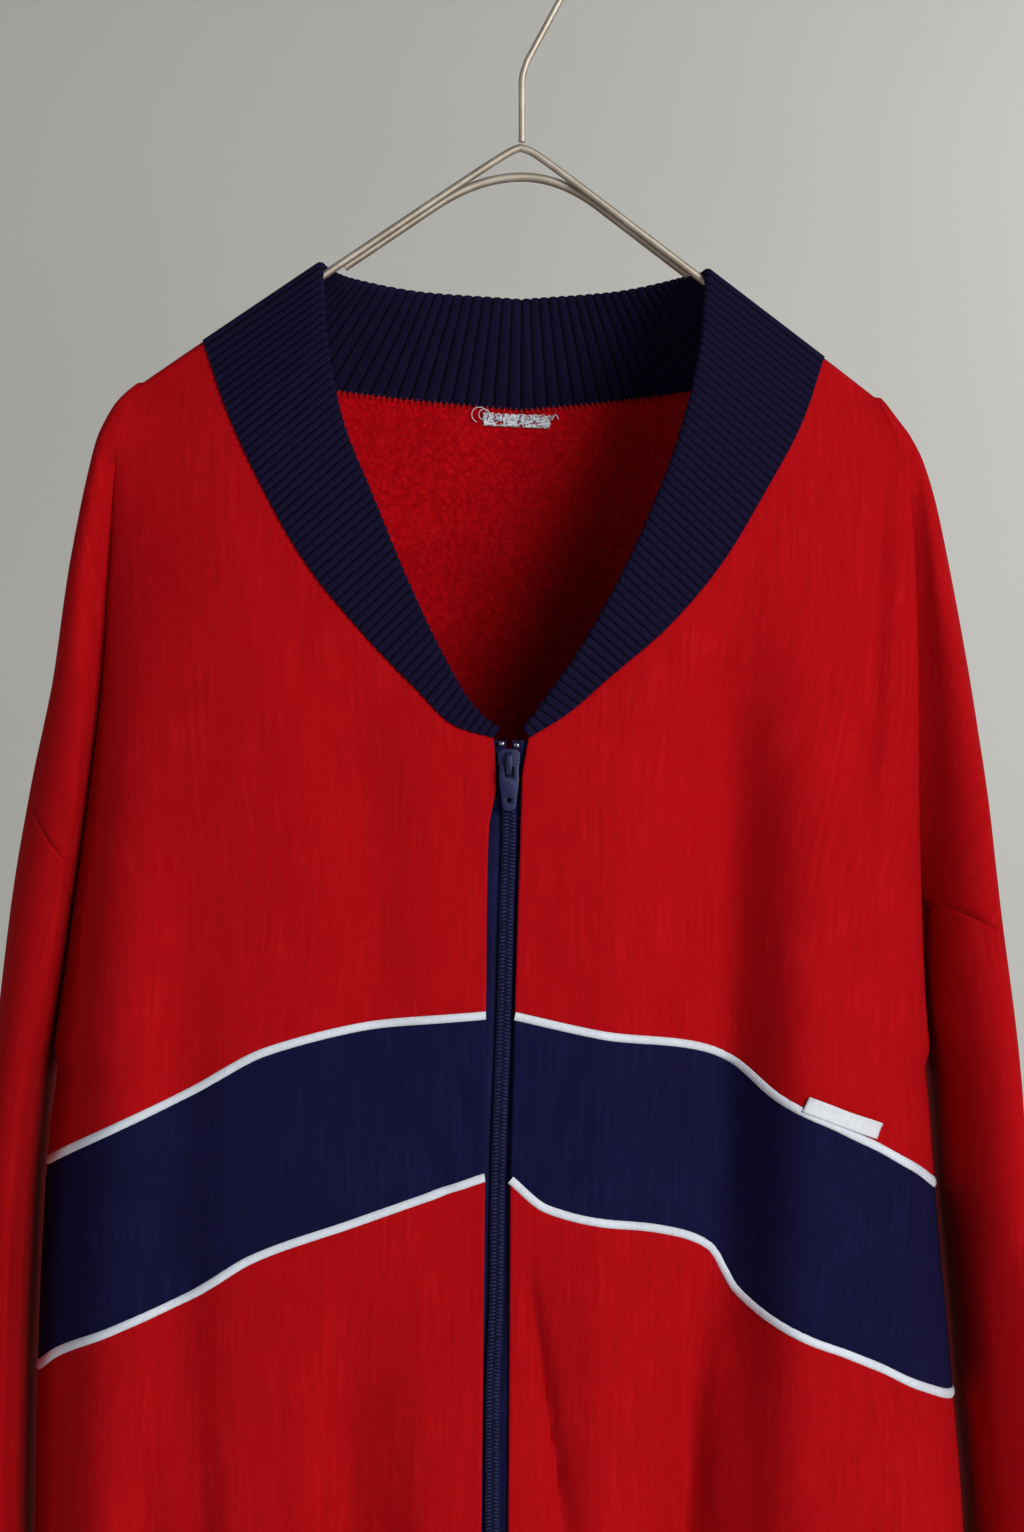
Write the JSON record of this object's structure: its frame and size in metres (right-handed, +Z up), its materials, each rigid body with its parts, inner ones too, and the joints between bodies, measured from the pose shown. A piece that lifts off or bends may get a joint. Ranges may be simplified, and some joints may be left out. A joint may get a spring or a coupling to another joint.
{
  "type": "zip-up sweatshirt on a hanger",
  "caption": "Hip-length V-neck zip-up sweatshirt with contrast chest bands, piped edges, rib collar, cuffs and hem, hanging on a wire hanger.",
  "frame": {"origin": "inside top of the hanger's hook, where a rail holds it", "axes": "+Z up, +X to the viewer's right, the front of the garment faces -Y"},
  "size_m": [0.4751, 0.1411, 0.842],
  "materials": {
    "red_fleece": "matt fleece-backed jersey",
    "navy_fleece": "matt fleece-backed jersey",
    "navy_rib": "matt rib knit",
    "white_trim": "woven tape",
    "navy_tape": "woven zip tape and coil",
    "enamel": "satin enamel",
    "silver": "bright",
    "nickel": "aged nickel wire"
  },
  "bodies": {
    "garment": {"back": "red_fleece", "band_label": "white_trim", "chest_band_left": "navy_fleece", "chest_band_right": "navy_fleece", "collar": "navy_rib", "cuff_left": "navy_rib", "cuff_right": "navy_rib", "front_lower_left": "red_fleece", "front_lower_right": "red_fleece", "front_upper_left": "red_fleece", "front_upper_right": "red_fleece", "hanger_arch": "nickel", "hanger_arm_left": "nickel", "hanger_arm_right": "nickel", "hanger_hook": "nickel", "hem_band": "navy_rib", "neck_label": "white_trim", "piping_bottom_left": "white_trim", "piping_bottom_right": "white_trim", "piping_top_left": "white_trim", "piping_top_right": "white_trim", "sleeve_left": "red_fleece", "sleeve_right": "red_fleece", "zip_box": "enamel", "zip_chain": "navy_tape", "zip_slider": "enamel", "zip_stop_left": "silver", "zip_stop_right": "silver", "zip_tape_left": "navy_tape", "zip_tape_right": "navy_tape"},
    "pull_tab": {"pull_tab": "enamel"}
  },
  "joints": [
    {"name": "pull_tab_hinge", "type": "hinge", "parent": "garment", "child": "pull_tab", "pos_m": [-0.0056, -0.05161, -0.3706], "axis": [-1, 0, 0], "range_deg": [0, 120]}
  ]
}
